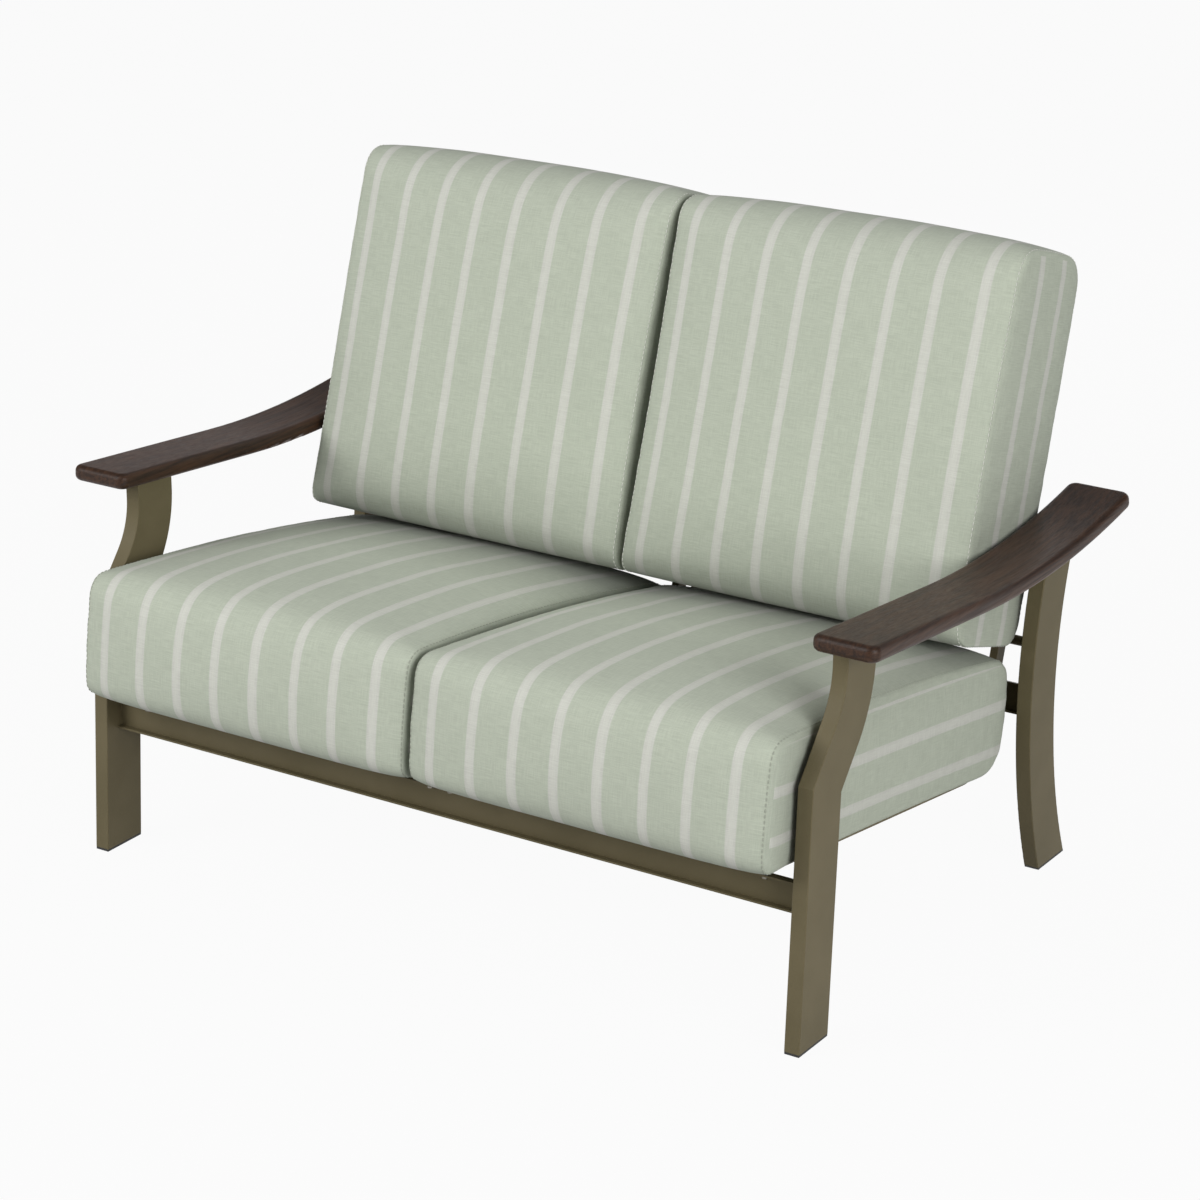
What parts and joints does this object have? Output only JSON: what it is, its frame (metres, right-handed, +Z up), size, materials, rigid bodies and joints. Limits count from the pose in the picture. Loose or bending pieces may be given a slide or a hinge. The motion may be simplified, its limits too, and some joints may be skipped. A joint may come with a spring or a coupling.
{
  "type": "patio loveseat",
  "caption": "Outdoor loveseat with a metal frame, sling decks, dark armrest planks and loose striped box cushions.",
  "frame": {"origin": "on the floor, in the middle of the overall box", "axes": "+X across the seats, +Y to the rear, +Z up"},
  "size_m": [1.4466, 0.9898, 1.0215],
  "materials": {
    "frame_powdercoat": "satin powder coat",
    "arm_plank": "brushed dark wood look",
    "cushion_fabric": "woven, sage green with pale stripes",
    "sling_fabric": "coated open weave",
    "black_plastic": "moulded",
    "fastener_steel": "zinc plated"
  },
  "bodies": {
    "frame": {"arm_bar_left": "frame_powdercoat", "arm_bar_right": "frame_powdercoat", "arm_screws_left": "fastener_steel", "arm_screws_right": "fastener_steel", "armrest_left": "arm_plank", "armrest_right": "arm_plank", "back_brace": "frame_powdercoat", "back_low_spreader_left": "frame_powdercoat", "back_low_spreader_right": "frame_powdercoat", "back_sling_left": "sling_fabric", "back_sling_right": "sling_fabric", "back_spline_rods": "black_plastic", "back_top_spreader_left": "frame_powdercoat", "back_top_spreader_right": "frame_powdercoat", "brace_screws": "fastener_steel", "bracket_bolts": "fastener_steel", "front_bracket_left": "frame_powdercoat", "front_bracket_right": "frame_powdercoat", "front_glide_left": "black_plastic", "front_glide_right": "black_plastic", "front_leg_left": "frame_powdercoat", "front_leg_right": "frame_powdercoat", "front_rail": "frame_powdercoat", "rail_front_plugs": "black_plastic", "rail_top_plugs": "black_plastic", "rail_wedges": "black_plastic", "rear_bracket_left": "frame_powdercoat", "rear_bracket_right": "frame_powdercoat", "rear_glide_left": "black_plastic", "rear_glide_right": "black_plastic", "rear_leg_left": "frame_powdercoat", "rear_leg_right": "frame_powdercoat", "rear_rail": "frame_powdercoat", "rear_rail_screws": "fastener_steel", "rivet_nuts": "fastener_steel", "seat_back_rail_1": "frame_powdercoat", "seat_back_rail_2": "frame_powdercoat", "seat_back_rail_3": "frame_powdercoat", "seat_back_rail_4": "frame_powdercoat", "seat_front_spreader_left": "frame_powdercoat", "seat_front_spreader_right": "frame_powdercoat", "seat_rail_screws": "fastener_steel", "seat_rear_spreader_left": "frame_powdercoat", "seat_rear_spreader_right": "frame_powdercoat", "seat_sling_left": "sling_fabric", "seat_sling_right": "sling_fabric", "seat_spline_rods": "black_plastic"},
    "back_cushion_left_body": {"back_cushion_left": "cushion_fabric"},
    "back_cushion_right_body": {"back_cushion_right": "cushion_fabric"},
    "seat_cushion_left_body": {"seat_cushion_left": "cushion_fabric"},
    "seat_cushion_right_body": {"seat_cushion_right": "cushion_fabric"}
  },
  "joints": [
    {"name": "seat_cushion_left_pull", "type": "slide", "parent": "frame", "child": "seat_cushion_left_body", "axis": [0, -0.9905, 0.1374], "range_m": [0, 0.65]},
    {"name": "back_cushion_left_lift", "type": "slide", "parent": "frame", "child": "back_cushion_left_body", "axis": [0, 0.3024, 0.9532], "range_m": [0, 0.65]},
    {"name": "seat_cushion_right_pull", "type": "slide", "parent": "frame", "child": "seat_cushion_right_body", "axis": [0, -0.9905, 0.1374], "range_m": [0, 0.65]},
    {"name": "back_cushion_right_lift", "type": "slide", "parent": "frame", "child": "back_cushion_right_body", "axis": [0, 0.3024, 0.9532], "range_m": [0, 0.65]}
  ]
}
